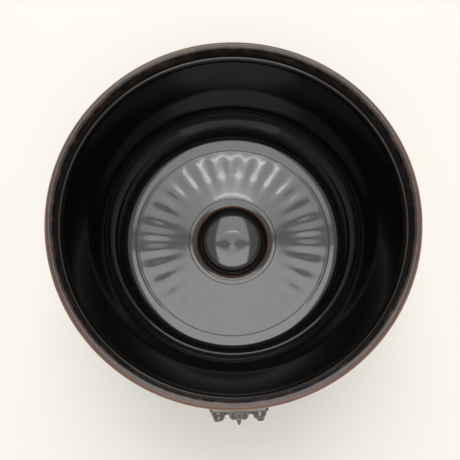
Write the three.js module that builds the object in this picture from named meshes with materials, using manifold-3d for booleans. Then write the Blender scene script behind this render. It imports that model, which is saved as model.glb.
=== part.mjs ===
// Tenmoku tea bowl: a thrown stoneware bowl with a rolled lip, a small sunk well in the
// middle of its floor, a turned foot ring, and a moulded beast mask luted on at front and back.
// Millimetres, +Z up. The origin is the middle of the foot's ground plane, the front mask faces -Y.
import * as THREE from "three";
import { mergeVertices } from "three/addons/utils/BufferGeometryUtils.js";
import Module from "manifold-3d";

const wasm = await Module();
wasm.setup();

// Driving sizes of the bowl.
const HEIGHT = 75; // foot to lip
const LIP_RADIUS = 62.5; // outermost radius of the rolled lip
const LIP_WIDTH = 2.9; // thickness of the lip, seen from above
const LIP_HEIGHT = 5.6; // height of the coil that makes the lip
const NECK_INSET = 0.6; // the wall's outside lies this far inside the lip
const JOINT = 0.3; // clearance kept between two luted pieces

// Inside of the bowl: the radius at each depth below the lip.
const SHOULDER_RADIUS = 53.4;
const SHOULDER_DEPTH = 18;
const RING_RADIUS = 47.6; // throwing ring, where the wall turns upright
const RING_DEPTH = 29;
const KNEE_RADIUS = 47.6;
const KNEE_DEPTH = 42;
const CORNER_RADIUS = 46.2;
const CORNER_DEPTH = 48.9;
const FLOOR_RADIUS = 41.6; // fine groove round the floor
const FLOOR_DEPTH = 51.2;
const SLOPE_RADIUS = 30;
const SLOPE_DEPTH = 53.4;

// Wall thickness at the same heights, measured level.
const NECK_WALL = 2.4;
const SHOULDER_WALL = 5.2;
const RING_WALL = 8;
const KNEE_WALL = 5;
const CORNER_WALL = 3.8;

// Well in the middle of the floor.
const WELL_RADIUS = 16;
const WELL_LIP_DEPTH = 56.2;
const WELL_DEPTH = 7.4; // from the well's edge to its lowest point
const WELL_WALL = 3;
const WELL_FLOOR = 2.2;
const CUP_RISE = 1.2; // how far the floor climbs from the well's edge to the cup's rim
const CUP_TAPER = 4;

// Foot.
const FOOT_RADIUS = 31;
const FOOT_WIDTH = 6;
const FOOT_HEIGHT = 6;
const FOOT_EDGE = 0.6; // softened edges of the ring
const HIP_RADIUS = 42;
const HIP_RISE = 7.5; // height of the hip above the foot ring's top

const TURN_STEPS = 72; // facets round the bowl

const glaze = new THREE.MeshStandardMaterial({ color: 0x0a0908, roughness: 0.06, metalness: 0 });
const rust = new THREE.MeshStandardMaterial({ color: 0x5d3a29, roughness: 0.25, metalness: 0 });
const broken = new THREE.MeshStandardMaterial({ color: 0x30211b, roughness: 0.15, metalness: 0 });
const clay = new THREE.MeshStandardMaterial({ color: 0x5a4234, roughness: 0.85, metalness: 0 });

// A solid turned about Z from a closed or axis-to-axis outline of [radius, height] points.
function turned(outline, steps = TURN_STEPS) {
  const points = outline.map(([r, z]) => new THREE.Vector2(r, z));
  return new THREE.LatheGeometry(points, steps).rotateX(Math.PI / 2);
}

// Points of a smooth curve through the given [radius, height] points.
function smooth(points, count) {
  const curve = new THREE.SplineCurve(points.map(([r, z]) => new THREE.Vector2(r, z)));
  return curve.getPoints(count).map((p) => [p.x, p.y]);
}

// Points of an arc about [cx, cz], from one angle to another, in degrees.
function arc(cx, cz, radius, from, to, count) {
  return Array.from({ length: count + 1 }, (_, i) => {
    const a = THREE.MathUtils.degToRad(from + ((to - from) * i) / count);
    return [cx + radius * Math.cos(a), cz + radius * Math.sin(a)];
  });
}

function solid(geometry) {
  const bare = (geometry.index ? geometry.toNonIndexed() : geometry).clone();
  bare.deleteAttribute("normal");
  bare.deleteAttribute("uv");
  const merged = mergeVertices(bare, 1e-4);
  return new wasm.Manifold(
    new wasm.Mesh({
      numProp: 3,
      vertProperties: new Float32Array(merged.attributes.position.array),
      triVerts: new Uint32Array(merged.index.array),
    }),
  );
}

function geometryOf(made) {
  const mesh = made.getMesh();
  const geometry = new THREE.BufferGeometry();
  geometry.setAttribute("position", new THREE.BufferAttribute(mesh.vertProperties, 3));
  geometry.setIndex(new THREE.BufferAttribute(mesh.triVerts, 1));
  return geometry.toNonIndexed();
}

function piece(name, geometry, material) {
  geometry.computeVertexNormals();
  const mesh = new THREE.Mesh(geometry, material);
  mesh.name = name;
  return mesh;
}

// Heights and radii worked out from the sizes above.
const NECK_RADIUS = LIP_RADIUS - NECK_INSET;
const MOUTH_RADIUS = LIP_RADIUS - LIP_WIDTH;
const COIL_Z = HEIGHT - LIP_HEIGHT;
const WALL_TOP = COIL_Z - JOINT;
const WELL_LIP_Z = HEIGHT - WELL_LIP_DEPTH;
const CUP_BASE_Z = WELL_LIP_Z - WELL_DEPTH - WELL_FLOOR;
const CUP_RADIUS = WELL_RADIUS + WELL_WALL;
const SOCKET_Z = CUP_BASE_Z - JOINT;
const RING_TOP = FOOT_HEIGHT - JOINT;

// The outside of the wall, from the foot up to the lip.
const outerWall = smooth(
  [
    [FOOT_RADIUS + 2 * FOOT_EDGE, FOOT_HEIGHT],
    [HIP_RADIUS, FOOT_HEIGHT + HIP_RISE],
    [CORNER_RADIUS + CORNER_WALL, HEIGHT - CORNER_DEPTH],
    [KNEE_RADIUS + KNEE_WALL, HEIGHT - KNEE_DEPTH],
    [RING_RADIUS + RING_WALL, HEIGHT - RING_DEPTH],
    [SHOULDER_RADIUS + SHOULDER_WALL, HEIGHT - SHOULDER_DEPTH],
    [NECK_RADIUS, WALL_TOP],
  ],
  16,
);

// The inside of the wall, from the lip down to the socket of the well.
const innerWall = smooth(
  [
    [NECK_RADIUS - NECK_WALL, WALL_TOP],
    [SHOULDER_RADIUS, HEIGHT - SHOULDER_DEPTH],
    [RING_RADIUS, HEIGHT - RING_DEPTH],
    [KNEE_RADIUS, HEIGHT - KNEE_DEPTH],
    [CORNER_RADIUS, HEIGHT - CORNER_DEPTH],
    [FLOOR_RADIUS, HEIGHT - FLOOR_DEPTH],
    [SLOPE_RADIUS, HEIGHT - SLOPE_DEPTH],
    [CUP_RADIUS + JOINT, WELL_LIP_Z + CUP_RISE],
  ],
  26,
);

// Thrown wall and floor, with a tapered socket for the well.
function bowlWall() {
  return turned([
    [0, FOOT_HEIGHT],
    ...outerWall,
    ...innerWall,
    [CUP_RADIUS - CUP_TAPER + JOINT, SOCKET_Z],
    [0, SOCKET_Z],
  ]);
}

// Coil that makes the rolled lip.
function rolledLip() {
  const half = LIP_WIDTH / 2;
  const middle = LIP_RADIUS - half;
  return turned([
    [NECK_RADIUS - NECK_WALL, COIL_Z],
    [NECK_RADIUS, COIL_Z],
    [LIP_RADIUS - NECK_INSET / 2, COIL_Z + half],
    ...arc(middle, HEIGHT - half, half, 0, 180, 8),
    [MOUTH_RADIUS, COIL_Z + half],
    [NECK_RADIUS - NECK_WALL, COIL_Z],
  ]);
}

// Small cup sunk in the floor.
function wellCup() {
  const bottom = WELL_LIP_Z - WELL_DEPTH;
  return turned([
    [0, CUP_BASE_Z],
    [CUP_RADIUS - CUP_TAPER, CUP_BASE_Z],
    [CUP_RADIUS, WELL_LIP_Z + CUP_RISE - JOINT],
    [WELL_RADIUS, WELL_LIP_Z],
    ...smooth(
      [
        [WELL_RADIUS * 0.97, WELL_LIP_Z - WELL_DEPTH * 0.15],
        [WELL_RADIUS * 0.85, bottom + WELL_DEPTH * 0.4],
        [WELL_RADIUS * 0.5, bottom + WELL_DEPTH * 0.08],
        [0, bottom],
      ],
      8,
    ),
  ]);
}

// Turned foot ring.
function footRing() {
  const inner = FOOT_RADIUS - FOOT_WIDTH;
  return turned([
    [inner + FOOT_EDGE, 0],
    [FOOT_RADIUS - FOOT_EDGE, 0],
    [FOOT_RADIUS, FOOT_EDGE],
    [FOOT_RADIUS + 2 * FOOT_EDGE, RING_TOP],
    [inner - 2 * FOOT_EDGE, RING_TOP],
    [inner, FOOT_EDGE],
    [inner + FOOT_EDGE, 0],
  ]);
}

// Beast mask. Places on it are across and up from the mask's middle, and reaches are out of its plate.
const MASK_WIDTH = 18.8;
const MASK_HEIGHT = 17.5;
const MASK_TOP_DEPTH = 6; // below the lip
const PLATE_REACH = 1.3; // how far the plate's face stands past the lip, or past a wider wall
const PLATE_CORNER = 1.4;
const CURL_RADIUS = 2.6;
const CURL_REACH = 3.4;
const CURL_ACROSS = 6.6;
const CURL_UP = 4.7;
const SCROLL_RADIUS = 2.2;
const SCROLL_REACH = 2.9;
const SCROLL_ACROSS = 6.9;
const SCROLL_DOWN = 0.6;
const BROW_WIDTH = 6.8;
const BROW_REACH = 3.2;
const NOSE_REACH = 5.8;
const NOSE_DOWN = 1.6;
const JOWL_ACROSS = 2.4;
const JOWL_DOWN = 3.2;
const JOWL_RADIUS = 2.1;
const JOWL_REACH = 4.3;

const MASK_Z = HEIGHT - MASK_TOP_DEPTH - MASK_HEIGHT / 2;
const MASK_BASE_Z = MASK_Z - MASK_HEIGHT / 2;
const wallBehindMask = outerWall.filter(([, z]) => z >= MASK_BASE_Z).map(([r]) => r);
const PLATE_FACE = Math.max(LIP_RADIUS, ...wallBehindMask) + PLATE_REACH;
const PLATE_DEPTH = PLATE_FACE - RING_RADIUS; // the block reaches well into the wall before it is cut

// The bowl's outside grown by the joint, to cut the back of what is luted on it.
const wallCutter = solid(
  turned([
    [0, FOOT_HEIGHT],
    ...outerWall.map(([r, z]) => [r + JOINT, z]),
    [LIP_RADIUS + JOINT, COIL_Z],
    [LIP_RADIUS + JOINT, HEIGHT],
    [0, HEIGHT],
  ]),
);

function maskPlate() {
  const w = MASK_WIDTH / 2;
  const h = MASK_HEIGHT / 2;
  const c = PLATE_CORNER;
  const outline = new THREE.Shape()
    .moveTo(c - w, h)
    .lineTo(w - c, h)
    .quadraticCurveTo(w, h, w, h - c)
    .lineTo(w * 0.96, -h * 0.15)
    .quadraticCurveTo(w * 0.7, -h * 0.75, 0, -h)
    .quadraticCurveTo(-w * 0.7, -h * 0.75, -w * 0.96, -h * 0.15)
    .lineTo(-w, h - c)
    .quadraticCurveTo(-w, h, c - w, h);
  const block = new THREE.ExtrudeGeometry(outline, {
    depth: PLATE_DEPTH,
    bevelEnabled: false,
    curveSegments: 6,
  })
    .rotateX(Math.PI / 2)
    .translate(0, PLATE_DEPTH - PLATE_FACE, MASK_Z);
  return geometryOf(solid(block).subtract(wallCutter));
}

// A domed boss with a sunk ring round its middle.
function boss(across, up, radius, reach) {
  const shoulder = arc(0, 0, 1, 0, 50, 3).map(([c, s]) => [radius * c, reach * 0.9 * s]);
  const outline = [
    [0, 0],
    [radius, 0],
    ...shoulder.slice(1),
    [radius * 0.5, reach * 0.62],
    [radius * 0.36, reach * 0.9],
    [0, reach],
  ];
  return turned(outline, 20)
    .rotateX(Math.PI / 2)
    .translate(across, -PLATE_FACE - JOINT, MASK_Z + up);
}

// Brow, nose and jowls, joined into one moulded face.
function maskFace() {
  const seat = PLATE_FACE + JOINT;
  const ball = (across, up, wide, reach, tall) =>
    solid(
      new THREE.SphereGeometry(1, 16, 10)
        .scale(wide, reach, tall)
        .translate(across, -seat, MASK_Z + up),
    );
  const face = ball(0, CURL_UP / 2, BROW_WIDTH / 2, BROW_REACH, MASK_HEIGHT / 4)
    .add(ball(0, -NOSE_DOWN, JOWL_RADIUS, NOSE_REACH - JOINT, JOWL_RADIUS))
    .add(ball(-JOWL_ACROSS, -JOWL_DOWN, JOWL_RADIUS, JOWL_REACH, JOWL_RADIUS))
    .add(ball(JOWL_ACROSS, -JOWL_DOWN, JOWL_RADIUS, JOWL_REACH, JOWL_RADIUS));
  const keep = 2 * MASK_WIDTH;
  const front = new THREE.BoxGeometry(keep, keep, keep).translate(0, -seat - keep / 2, MASK_Z);
  return geometryOf(face.intersect(solid(front)));
}

function mask(side) {
  const group = new THREE.Group();
  group.add(
    piece(`${side}_mask_plate`, maskPlate(), broken),
    piece(`${side}_mask_face`, maskFace(), broken),
  );
  for (const [hand, sign] of [
    ["left", -1],
    ["right", 1],
  ]) {
    const curl = boss(sign * CURL_ACROSS, CURL_UP, CURL_RADIUS, CURL_REACH);
    const scroll = boss(sign * SCROLL_ACROSS, -SCROLL_DOWN, SCROLL_RADIUS, SCROLL_REACH);
    group.add(piece(`${side}_${hand}_curl`, curl, broken));
    group.add(piece(`${side}_${hand}_scroll`, scroll, broken));
  }
  return group;
}

const bowl = new THREE.Group();
bowl.add(
  piece("bowl_wall", bowlWall(), glaze),
  piece("rolled_lip", rolledLip(), rust),
  piece("well_cup", wellCup(), glaze),
  piece("foot_ring", footRing(), clay),
  mask("front"),
);
const rear = mask("rear");
rear.rotation.z = Math.PI;
bowl.add(rear);

export default bowl;
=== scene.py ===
"""Tenmoku tea bowl: the glazed surfaces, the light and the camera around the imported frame."""

from math import atan2, cos, exp, hypot, pi, radians, sin, tau

import bmesh
import bpy
from mathutils import Matrix, Vector


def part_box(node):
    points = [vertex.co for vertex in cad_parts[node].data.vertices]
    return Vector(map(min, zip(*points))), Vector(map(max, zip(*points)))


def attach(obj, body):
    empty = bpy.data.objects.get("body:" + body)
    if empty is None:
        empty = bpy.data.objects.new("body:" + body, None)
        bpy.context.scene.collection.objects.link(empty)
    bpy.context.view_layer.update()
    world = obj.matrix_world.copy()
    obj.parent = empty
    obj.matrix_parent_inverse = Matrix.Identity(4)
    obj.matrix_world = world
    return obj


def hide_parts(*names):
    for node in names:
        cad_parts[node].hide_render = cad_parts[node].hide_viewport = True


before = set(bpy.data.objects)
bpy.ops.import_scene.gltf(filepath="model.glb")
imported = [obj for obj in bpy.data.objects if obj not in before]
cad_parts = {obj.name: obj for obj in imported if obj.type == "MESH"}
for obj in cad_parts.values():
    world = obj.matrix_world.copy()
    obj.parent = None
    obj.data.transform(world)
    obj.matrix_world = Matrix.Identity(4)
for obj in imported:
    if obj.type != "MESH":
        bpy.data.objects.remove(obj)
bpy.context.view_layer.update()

MM = 0.001

# Sizes read from the frame, in millimetres.
def corners(node):
    low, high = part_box(node)
    return low / MM, high / MM


wall_low, wall_high = corners("bowl_wall")
lip_low, lip_high = corners("rolled_lip")
cup_low, cup_high = corners("well_cup")
foot_low, foot_high = corners("foot_ring")
plate_low, plate_high = corners("front_mask_plate")
curl_low, curl_high = corners("front_right_curl")
scroll_low, scroll_high = corners("front_right_scroll")
face_low, face_high = corners("front_mask_face")

TOP = lip_high.z
LIP_RADIUS = lip_high.x
COIL_BASE = lip_low.z
WALL_TOP = wall_high.z
WALL_BASE = wall_low.z
NECK = wall_high.x
FOOT_RADIUS = foot_high.x
CUP_RADIUS = cup_high.x
CUP_BASE = cup_low.z
CUP_TOP = cup_high.z
PLATE_FACE = -plate_low.y

# Sizes of the inside that the photo shows: a radius, and its depth below the lip.
LIP_WIDTH = 2.9
JOINT = 0.3
SHOULDER = (53.4, 18)
RING = (47.6, 29)
KNEE = (47.6, 42)
CORNER = (46.2, 48.9)
FLOOR = (41.6, 51.2)
SLOPE = (30, 53.4)
WELL = (16, 56.2)
WELL_DEPTH = 7.4
CUP_TAPER = 4

# Wall thickness at those heights, measured level.
NECK_WALL = 2.4
SHOULDER_WALL = 5.2
RING_WALL = 8
KNEE_WALL = 5
CORNER_WALL = 3.8

# Foot.
FOOT_WIDTH = 6
FOOT_EDGE = 0.6
HIP_RADIUS = 42
HIP_RISE = 7.5

FLUTES = 30
FLUTE_HEIGHT = 0.05
STEPS = 360

# Mane round the mask's face, half its width and height, and its locks.
MANE_WIDE = 8.6
MANE_TALL = 7.9
MANE_LOCKS = 16

# Heights worked out from the sizes above.
WELL_RADIUS, WELL_LIP_Z = WELL[0], TOP - WELL[1]
WELL_BOTTOM = WELL_LIP_Z - WELL_DEPTH
FLOOR_RADIUS, FLOOR_Z = FLOOR[0], TOP - FLOOR[1]


# Curves and meshes.
def smooth(points, count):
    """Points on a smooth curve through the given [radius, height] points."""
    points = [Vector(p) for p in points]
    ends = [2 * points[0] - points[1], *points, 2 * points[-1] - points[-2]]
    made = []
    spans = len(points) - 1
    for k in range(count + 1):
        at = min(k / count * spans, spans - 1e-9)
        i = int(at)
        t = at - i
        a, b, c, d = ends[i : i + 4]
        made.append(
            0.5 * (2 * b + (c - a) * t + (2 * a - 5 * b + 4 * c - d) * t**2 + (3 * b - a - 3 * c + d) * t**3)
        )
    return made


def arc(centre, radius, start, end, count):
    angles = [radians(start + (end - start) * i / count) for i in range(count + 1)]
    return [Vector((centre[0] + radius * cos(a), centre[1] + radius * sin(a))) for a in angles]


def mesh_object(name, points, faces, material):
    mesh = bpy.data.meshes.new(name)
    mesh.from_pydata([Vector(p) * MM for p in points], [], faces)
    mesh.validate()
    mesh.polygons.foreach_set("use_smooth", [True] * len(mesh.polygons))
    mesh.update()
    made = bpy.data.objects.new(name, mesh)
    bpy.context.collection.objects.link(made)
    made.data.materials.append(material)
    return made


def turned(name, outline, material, shape=None, closed=False):
    """A surface turned about Z. shape(r, z, angle) may move a point up or down and in or out."""
    points = []
    for r, z in outline:
        for j in range(STEPS):
            a = tau * j / STEPS
            dr, dz = shape(r, z, a) if shape else (0, 0)
            points.append(((r + dr) * cos(a), (r + dr) * sin(a), z + dz))
    rows = len(outline)
    faces = []
    for i in range(rows if closed else rows - 1):
        for j in range(STEPS):
            k = (j + 1) % STEPS
            n = (i + 1) % rows
            faces.append((i * STEPS + j, i * STEPS + k, n * STEPS + k, n * STEPS + j))
    return mesh_object(name, points, faces, material)


# Materials.
class Shader:
    """A node material with a few shortcuts."""

    def __init__(self, name, roughness, coat=0.0):
        self.material = bpy.data.materials.new(name)
        self.material.use_nodes = True
        self.nodes = self.material.node_tree.nodes
        self.links = self.material.node_tree.links
        self.bsdf = self.nodes["Principled BSDF"]
        self.bsdf.inputs["Roughness"].default_value = roughness
        self.bsdf.inputs["Coat Weight"].default_value = coat
        self.place = self.add("ShaderNodeTexCoord").outputs["Object"]

    def add(self, kind, **settings):
        node = self.nodes.new(kind)
        for key, value in settings.items():
            setattr(node, key, value)
        return node

    def maths(self, operation, *values):
        node = self.add("ShaderNodeMath", operation=operation)
        for socket, value in zip(node.inputs, values):
            self.feed(socket, value)
        return node.outputs[0]

    def feed(self, socket, value):
        if isinstance(value, bpy.types.NodeSocket):
            self.links.new(value, socket)
        else:
            socket.default_value = value

    def axis(self, letter):
        node = self.add("ShaderNodeSeparateXYZ")
        self.links.new(self.place, node.inputs[0])
        return node.outputs[letter]

    def radius(self):
        x, y = self.axis("X"), self.axis("Y")
        squares = self.maths("ADD", self.maths("MULTIPLY", x, x), self.maths("MULTIPLY", y, y))
        return self.maths("SQRT", squares)

    def noise(self, scale, detail=4.0, roughness=0.55):
        node = self.add("ShaderNodeTexNoise")
        self.links.new(self.place, node.inputs["Vector"])
        node.inputs["Scale"].default_value = scale
        node.inputs["Detail"].default_value = detail
        node.inputs["Roughness"].default_value = roughness
        return node.outputs[0]

    def ramp(self, factor, stops):
        """stops: (position, colour) in order."""
        node = self.add("ShaderNodeValToRGB")
        self.links.new(factor, node.inputs[0])
        elements = node.color_ramp.elements
        while len(elements) < len(stops):
            elements.new(0.5)
        for element, (position, colour) in zip(elements, stops):
            element.position = position
            element.color = (*colour, 1)
        return node.outputs[0]

    def mapped(self, value, low, high):
        node = self.add("ShaderNodeMapRange")
        self.links.new(value, node.inputs["Value"])
        node.inputs["From Min"].default_value = low
        node.inputs["From Max"].default_value = high
        return node.outputs[0]

    def mix(self, factor, a, b):
        node = self.add("ShaderNodeMix", data_type="RGBA")
        self.feed(node.inputs["Factor"], factor)
        for socket, value in ((node.inputs[6], a), (node.inputs[7], b)):
            self.feed(socket, value if isinstance(value, bpy.types.NodeSocket) else (*value, 1))
        return node.outputs[2]

    def bump(self, height, strength, distance):
        node = self.add("ShaderNodeBump")
        node.inputs["Strength"].default_value = strength
        node.inputs["Distance"].default_value = distance
        self.links.new(height, node.inputs["Height"])
        self.links.new(node.outputs[0], self.bsdf.inputs["Normal"])

    def colour(self, value):
        self.links.new(value, self.bsdf.inputs["Base Color"])

    def gloss(self, value):
        self.links.new(value, self.bsdf.inputs["Roughness"])


BLACK = (0.0009, 0.0008, 0.0008)
DARK = (0.0045, 0.0028, 0.0022)
RUST = (0.12, 0.055, 0.032)
PALE_RUST = (0.22, 0.11, 0.066)
CLAY = (0.19, 0.115, 0.075)


def near(shader, value, centre, width):
    """1 at centre, falling to 0 at width either side."""
    off = shader.maths("ABSOLUTE", shader.maths("SUBTRACT", value, centre))
    return shader.maths("SUBTRACT", 1.0, shader.maths("MINIMUM", shader.maths("DIVIDE", off, width), 1.0))


def black_glaze():
    """Pooled black glaze, rust where it thins on the well's edge."""
    s = Shader("black_glaze", 0.04, coat=0.3)
    s.bsdf.inputs["IOR"].default_value = 1.6
    tone = s.mix(s.noise(60), BLACK, DARK)
    arris = near(s, s.radius(), WELL_RADIUS * MM, 0.55 * MM)
    inside = s.mapped(s.axis("Z"), (CUP_BASE + 3) * MM, (CUP_BASE + 6) * MM)
    thin = s.maths("MULTIPLY", arris, inside)
    s.colour(s.mix(thin, tone, RUST))
    s.gloss(s.mapped(s.noise(220), -1.2, 12.0))
    s.bump(s.noise(45, 2.0), 0.25, 0.0002)
    return s.material


def outer_glaze():
    """Black glaze on the outside: fine rust streaks run down from the lip, and it thins above the foot."""
    s = Shader("outer_glaze", 0.06, coat=0.2)
    stretch = s.add("ShaderNodeMapping")
    stretch.inputs["Scale"].default_value = (1.0, 1.0, 0.06)
    s.links.new(s.place, stretch.inputs["Vector"])
    hairs = s.add("ShaderNodeTexNoise")
    s.links.new(stretch.outputs[0], hairs.inputs["Vector"])
    hairs.inputs["Scale"].default_value = 900
    hairs.inputs["Detail"].default_value = 5
    streak = s.mapped(hairs.outputs[0], 0.48, 0.72)
    below_lip = s.mapped(s.axis("Z"), (COIL_BASE - 26) * MM, COIL_BASE * MM)
    run = s.maths("MULTIPLY", streak, s.maths("MULTIPLY", below_lip, 0.75))
    foot = s.mapped(s.axis("Z"), (WALL_BASE + 4.5) * MM, WALL_BASE * MM)
    wander = s.maths("MULTIPLY", foot, s.maths("ADD", s.noise(90), 0.4))
    thin = s.maths("MINIMUM", s.maths("ADD", run, wander), 1.0)
    s.colour(s.mix(thin, s.mix(s.noise(60), BLACK, DARK), RUST))
    s.bump(s.maths("ADD", s.noise(45, 2.0), s.maths("MULTIPLY", streak, 0.06)), 0.25, 0.0002)
    return s.material


def lip_glaze():
    """Rust-brown glaze, thinnest on the crest of the lip and black towards the wall."""
    s = Shader("lip_glaze", 0.14)
    across = s.mapped(s.radius(), (LIP_RADIUS - LIP_WIDTH - 0.4) * MM, (LIP_RADIUS + 0.1) * MM)
    band = s.ramp(
        across,
        [
            (0.0, BLACK),
            (0.12, DARK),
            (0.4, (0.014, 0.009, 0.007)),
            (0.52, (0.04, 0.022, 0.015)),
            (0.66, RUST),
            (0.86, PALE_RUST),
        ],
    )
    mottled = s.mix(s.mapped(s.noise(240, 6.0), 0.45, 0.85), band, (0.11, 0.05, 0.03))
    below = s.mapped(s.axis("Z"), (TOP - 2.2) * MM, (COIL_BASE + 0.6) * MM)
    s.colour(s.mix(below, mottled, DARK))
    s.bump(s.noise(160, 4.0), 0.3, 0.0002)
    return s.material


def mask_glaze():
    """Black in the hollows and rust on the high points of the moulding."""
    s = Shader("mask_glaze", 0.08, coat=0.6)
    s.bsdf.inputs["IOR"].default_value = 1.7
    out = s.maths("ABSOLUTE", s.axis("Y"))
    high = s.mapped(out, (PLATE_FACE + 0.4) * MM, (PLATE_FACE + 4.2) * MM)
    broken = s.maths("MULTIPLY", high, s.maths("ADD", s.noise(420, 5.0), 0.45))
    edge = s.mapped(s.add("ShaderNodeNewGeometry").outputs["Pointiness"], 0.5, 0.6)
    s.colour(s.mix(s.maths("MINIMUM", s.maths("ADD", broken, edge), 1.0), BLACK, RUST))
    s.bump(s.noise(300, 3.0), 0.25, 0.0002)
    return s.material


def bare_clay():
    """Dark unglazed stoneware with fine grit and turning lines."""
    s = Shader("bare_clay", 0.82)
    grit = s.mix(s.mapped(s.noise(900, 6.0), 0.35, 0.7), CLAY, (0.08, 0.05, 0.035))
    s.colour(s.mix(s.mapped(s.noise(70), 0.4, 0.7), grit, (0.25, 0.14, 0.08)))
    lines = s.maths("SINE", s.maths("MULTIPLY", s.axis("Z"), 5200.0))
    s.bump(s.maths("ADD", s.noise(1300, 5.0), s.maths("MULTIPLY", lines, 0.2)), 0.5, 0.0002)
    return s.material


GLAZE = black_glaze()
OUTSIDE = outer_glaze()
LIP = lip_glaze()
MASK = mask_glaze()
BARE = bare_clay()

def at(place, wall=0):
    """A radius and depth pair as a [radius, height] point, moved out by the wall."""
    return place[0] + wall, TOP - place[1]


OUTER = smooth(
    [
        (FOOT_RADIUS, WALL_BASE),
        (HIP_RADIUS, WALL_BASE + HIP_RISE),
        at(CORNER, CORNER_WALL),
        at(KNEE, KNEE_WALL),
        at(RING, RING_WALL),
        at(SHOULDER, SHOULDER_WALL),
        (NECK, WALL_TOP),
    ],
    96,
)
SEAM = (CUP_RADIUS + JOINT, CUP_TOP + JOINT)
INSIDE = smooth(
    [
        (NECK - NECK_WALL, WALL_TOP),
        at(SHOULDER),
        at(RING),
        at(KNEE),
        at(CORNER),
        at(FLOOR),
        at(SLOPE),
        SEAM,
        (WELL_RADIUS * 1.075, WELL_LIP_Z + 0.65),
        (WELL_RADIUS, WELL_LIP_Z),
        (WELL_RADIUS * 0.965, WELL_LIP_Z - WELL_DEPTH * 0.15),
        (WELL_RADIUS * 0.85, WELL_BOTTOM + WELL_DEPTH * 0.4),
        (WELL_RADIUS * 0.5, WELL_BOTTOM + WELL_DEPTH * 0.08),
        (0.01, WELL_BOTTOM),
    ],
    390,
)
SEAM_STEP = 390 * 7 // 13
INNER = INSIDE[: SEAM_STEP + 1]
CUP_INSIDE = INSIDE[SEAM_STEP:]


def ring(r, centre, width):
    return exp(-(((r - centre) / width) ** 2))


def floor_shape(r, z, angle):
    """Soft flutes round the floor and the fine groove outside them."""
    if z > WALL_TOP - 0.5 or z < WALL_BASE + 4:
        return 0, 0
    if r < FLOOR_RADIUS + 3 and z < FLOOR_Z + 3:
        span = ring(r, 34, 6.5)
        groove = -0.12 * ring(r, FLOOR_RADIUS, 0.5)
        return 0, groove + FLUTE_HEIGHT * span * cos(FLUTES * angle)
    return 0, 0


def wall_rings(outline, inward):
    """The throwing rings of the wall, as small steps in its radius."""
    return [
        Vector((p.x - inward * (0.08 * ring(p.y, TOP - RING[1], 0.6) + 0.1 * ring(p.y, WALL_TOP - 1, 0.5)), p.y))
        for p in outline
    ]


def bowl_body():
    socket = [(CUP_RADIUS - CUP_TAPER + JOINT, CUP_BASE - JOINT), (0.01, CUP_BASE - JOINT)]
    outline = [(0.01, WALL_BASE), *OUTER, *wall_rings(INNER, 1), *socket]
    made = turned("body_glazed", outline, GLAZE, floor_shape)
    made.data.materials.append(OUTSIDE)
    for polygon in made.data.polygons[: len(OUTER) * STEPS]:
        polygon.material_index = 1
    return made


def lip():
    half = LIP_WIDTH / 2
    middle = LIP_RADIUS - half
    outline = [
        *smooth([(NECK, COIL_BASE), (NECK + 0.3, COIL_BASE + 0.5), (LIP_RADIUS - 0.3, COIL_BASE + 1.6)], 12),
        *arc((middle, TOP - half), half, 0, 180, 32),
        *smooth([(LIP_RADIUS - LIP_WIDTH, COIL_BASE + 1.4), (NECK - NECK_WALL, COIL_BASE)], 8),
    ]

    def uneven(r, z, a):
        return 0.05 * sin(3 * a + 1) - 0.05, 0.06 * sin(2 * a) + 0.03 * sin(5 * a) - 0.09

    return turned("lip_rolled", outline, LIP, uneven, closed=True)


def well():
    outline = [
        (0.01, CUP_BASE),
        (CUP_RADIUS - CUP_TAPER, CUP_BASE),
        (CUP_RADIUS, CUP_TOP - JOINT),
        *CUP_INSIDE,
    ]
    return turned("well_glazed", outline, GLAZE)


def foot():
    outer = FOOT_RADIUS - 2 * FOOT_EDGE
    inner = outer - FOOT_WIDTH
    outline = [
        (inner, FOOT_EDGE),
        (inner + FOOT_EDGE * 0.3, FOOT_EDGE * 0.3),
        (inner + FOOT_EDGE, 0),
        (outer - FOOT_EDGE, 0),
        (outer - FOOT_EDGE * 0.3, FOOT_EDGE * 0.3),
        (outer, FOOT_EDGE),
        (FOOT_RADIUS, foot_high.z),
        (inner - 2 * FOOT_EDGE, foot_high.z),
    ]
    return turned("foot_turned", outline, BARE, closed=True)


# The mask, in the front mask's own place. The rear one is the same, turned half round.
def relief(name, centre, half_width, half_height, height, material, rings=40, spokes=96, sink=0.8):
    """A moulded relief: height(u, v) above the plate, over an oval; its rim sinks into the plate."""
    points = [(centre[0], -PLATE_FACE - height(0, 0), centre[1])]
    for i in range(1, rings + 1):
        t = i / rings
        for j in range(spokes):
            a = tau * j / spokes
            u, v = half_width * t * cos(a), half_height * t * sin(a)
            rise = height(u, v) * (1 - t**6) - sink * t**6
            points.append((centre[0] + u, -PLATE_FACE - rise, centre[1] + v))
    faces = [(0, 1 + (j + 1) % spokes, 1 + j) for j in range(spokes)]
    for i in range(rings - 1):
        for j in range(spokes):
            k = (j + 1) % spokes
            a, b = 1 + i * spokes, 1 + (i + 1) * spokes
            faces.append((a + j, a + k, b + k, b + j))
    return mesh_object(name, points, faces, material)


def curl(name, low, high, turn):
    """A spiral boss as high and as wide as its solid."""
    half = (high.x - low.x) / 2
    centre = ((low.x + high.x) / 2, (low.z + high.z) / 2)
    top = -low.y - PLATE_FACE

    def height(u, v):
        r = hypot(u, v) / half
        phase = turn * atan2(v, u) + tau * 2.1 * r
        ridge = (0.5 + 0.5 * cos(phase)) ** 0.7
        return top * (0.8 + 0.2 * ridge * min(1.0, 2 * r)) * max(0.0, 1 - r**2.2) ** 0.55

    return relief(name, centre, half * 1.12, half * 1.12, height, MASK)


def bump_at(u, v, x, z, wx, wz, rise):
    return rise * exp(-(((u - x) / wx) ** 2) - ((v - z) / wz) ** 2)


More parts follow.
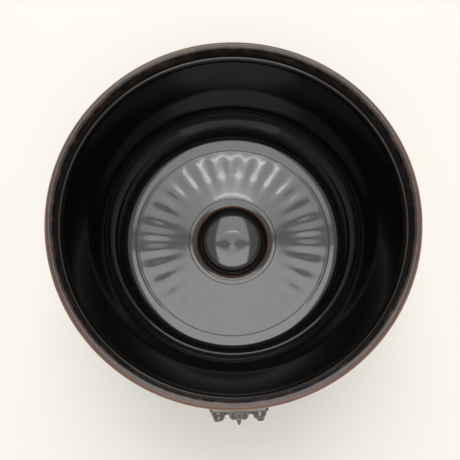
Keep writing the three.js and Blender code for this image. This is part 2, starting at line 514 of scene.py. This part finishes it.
def face_height(u, v):
    """Brow, nose, jowls and crest, with the eyes, nostrils and mouth sunk."""
    rise = 1.0
    rise += bump_at(u, v, 0, 1.0, 1.25, 3.0, 1.8)
    rise += bump_at(u, v, 0, -2.3, 1.5, 1.2, 3.4)
    rise += bump_at(u, v, 0, -2.3, 0.8, 0.8, 0.7)
    rise += bump_at(u, v, 0, 4.7, 1.1, 1.2, 1.2)
    for side in (-1, 1):
        rise += bump_at(u, v, side * 2.1, 3.5, 1.5, 0.9, 2.2)
        rise += bump_at(u, v, side * 2.9, -3.5, 1.55, 1.4, 3.7)
        rise += bump_at(u, v, side * 3.5, -0.5, 0.8, 1.4, 1.2)
        rise -= bump_at(u, v, side * 2.2, 1.5, 0.9, 0.85, 1.6)
        rise += bump_at(u, v, side * 2.2, 1.5, 0.45, 0.45, 1.3)
        rise -= bump_at(u, v, side * 0.8, -3.4, 0.3, 0.3, 1.0)
    rise -= bump_at(u, v, 0, -5.0, 2.4, 0.4, 1.2)
    return rise


def mane_height(u, v):
    """Locks of the mane, curving out from the face to the rim of the plate."""
    out = min(1.0, hypot(u / MANE_WIDE, v / MANE_TALL))
    lock = 0.5 + 0.5 * cos(MANE_LOCKS * atan2(u, -v) + 2.2 * out * (1 if u > 0 else -1))
    fine = 0.5 + 0.5 * cos(3 * MANE_LOCKS * atan2(u, -v))
    return 0.3 + (1.25 * lock**0.8 + 0.25 * fine) * min(1.0, out * 1.8)


def plate(side):
    """The mask's plate, with its edges softened."""
    made = bpy.data.objects.new(f"{side}_plate_soft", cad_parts[f"{side}_mask_plate"].data.copy())
    bpy.context.collection.objects.link(made)
    made.data.materials.clear()
    made.data.materials.append(MASK)
    work = bmesh.new()
    work.from_mesh(made.data)
    bmesh.ops.remove_doubles(work, verts=work.verts, dist=0.02 * MM)
    bmesh.ops.dissolve_limit(work, angle_limit=radians(4), verts=work.verts, edges=work.edges)
    work.to_mesh(made.data)
    work.free()
    soften = made.modifiers.new("soften", "BEVEL")
    soften.width = 0.55 * MM
    soften.segments = 4
    soften.limit_method = "ANGLE"
    soften.angle_limit = radians(40)
    soften.harden_normals = True
    made.data.polygons.foreach_set("use_smooth", [True] * len(made.data.polygons))
    return made


def mask(side, turn_round):
    face_half = (face_high.x - face_low.x) / 2
    face_tall = (face_high.z - face_low.z) / 2
    pieces = [
        (
            relief(
                f"{side}_face",
                (0, (face_high.z + face_low.z) / 2),
                face_half * 1.15,
                face_tall * 1.15,
                face_height,
                MASK,
                rings=60,
                spokes=120,
            ),
            f"{side}_mask_face",
        )
    ]
    for word, hand in (("left", -1), ("right", 1)):
        for kind, low, high in (("curl", curl_low, curl_high), ("scroll", scroll_low, scroll_high)):
            made = curl(f"{side}_{word}_{kind}_relief", low, high, hand if kind == "curl" else -hand)
            if hand < 0:
                made.data.transform(Matrix.Scale(-1, 4, (1, 0, 0)))
                made.data.flip_normals()
            pieces.append((made, f"{side}_{word}_{kind}"))
    mane_middle = (plate_low.z + plate_high.z) / 2 + 0.5
    mane = relief(f"{side}_mane", (0, mane_middle), MANE_WIDE, MANE_TALL, mane_height, MASK, 48, 288)
    pieces.append((mane, None))
    for made, node in pieces:
        if turn_round:
            made.matrix_world = Matrix.Rotation(pi, 4, "Z")
        if node:
            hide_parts(node)
        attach(made, "root")


def build_object():
    for made, node, slot in (
        (bowl_body(), "bowl_wall", "glaze"),
        (lip(), "rolled_lip", "lip_glaze"),
        (well(), "well_cup", "glaze"),
        (foot(), "foot_ring", "bare_clay"),
    ):
        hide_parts(node)
        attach(made, "root")
    mask("front", False)
    mask("rear", True)
    for side in ("front", "rear"):
        made = plate(side)
        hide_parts(f"{side}_mask_plate")
        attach(made, "root")


# Light, floor and camera.
def plain(name, colour, roughness):
    material = bpy.data.materials.new(name)
    material.use_nodes = True
    bsdf = material.node_tree.nodes["Principled BSDF"]
    bsdf.inputs["Base Color"].default_value = (*colour, 1)
    bsdf.inputs["Roughness"].default_value = roughness
    return material


def area_light(name, place, size, power, aim=(0, 0, 0), colour=(1, 1, 1)):
    data = bpy.data.lights.new(name, "AREA")
    data.shape = "RECTANGLE"
    data.size, data.size_y = size
    data.energy = power
    data.color = colour
    made = bpy.data.objects.new(name, data)
    bpy.context.collection.objects.link(made)
    made.location = place
    made.rotation_euler = (Vector(aim) - Vector(place)).to_track_quat("-Z", "Y").to_euler()
    return made


def studio():
    reach = 6
    corners_of_floor = [(-reach, -reach, 0), (reach, -reach, 0), (reach, reach, 0), (-reach, reach, 0)]
    floor = mesh_object("floor", [Vector(p) / MM for p in corners_of_floor], [(0, 1, 2, 3)], plain("floor", (0.93, 0.9, 0.83), 0.7))
    world = bpy.data.worlds.new("studio")
    bpy.context.scene.world = world
    world.use_nodes = True
    nodes, links = world.node_tree.nodes, world.node_tree.links
    light = nodes["Background"]
    light.inputs["Color"].default_value = (1, 0.98, 0.94, 1)
    light.inputs["Strength"].default_value = 0.25
    seen = nodes.new("ShaderNodeBackground")
    seen.inputs["Color"].default_value = (1, 0.985, 0.95, 1)
    seen.inputs["Strength"].default_value = 0.95
    path = nodes.new("ShaderNodeLightPath")
    direct = path.outputs["Is Camera Ray"]
    for other in ("Is Glossy Ray", "Is Transmission Ray"):
        either = nodes.new("ShaderNodeMath")
        either.operation = "MAXIMUM"
        links.new(direct, either.inputs[0])
        links.new(path.outputs[other], either.inputs[1])
        direct = either.outputs[0]
    choice = nodes.new("ShaderNodeMixShader")
    links.new(direct, choice.inputs["Fac"])
    links.new(light.outputs[0], choice.inputs[1])
    links.new(seen.outputs[0], choice.inputs[2])
    links.new(choice.outputs[0], nodes["World Output"].inputs["Surface"])
    area_light("overhead_front", (0, -0.35, 1.0), (0.9, 1.1), 6.5)
    area_light("overhead_back", (0, 0.65, 1.0), (0.9, 0.9), 7.5)
    area_light("lamp", (0.0, 0.02, 0.75), (0.1, 0.012), 0.05)


def camera():
    focus = 461
    frame_pixels = 460
    data = bpy.data.cameras.new("camera")
    data.sensor_width = 36
    data.lens = data.sensor_width * focus / frame_pixels
    data.clip_start = 0.005
    made = bpy.data.objects.new("camera", data)
    bpy.context.collection.objects.link(made)
    turn = radians(-1.6)
    rim = TOP - LIP_WIDTH / 2
    place = Vector((-1.1, -37.75, rim + 148.3)) * MM
    place.rotate(Matrix.Rotation(turn, 3, "Z"))
    made.location = place
    made.rotation_euler = (radians(11.94), 0, turn)
    bpy.context.scene.camera = made


build_object()
studio()
camera()
bpy.context.scene.view_settings.view_transform = "Standard"
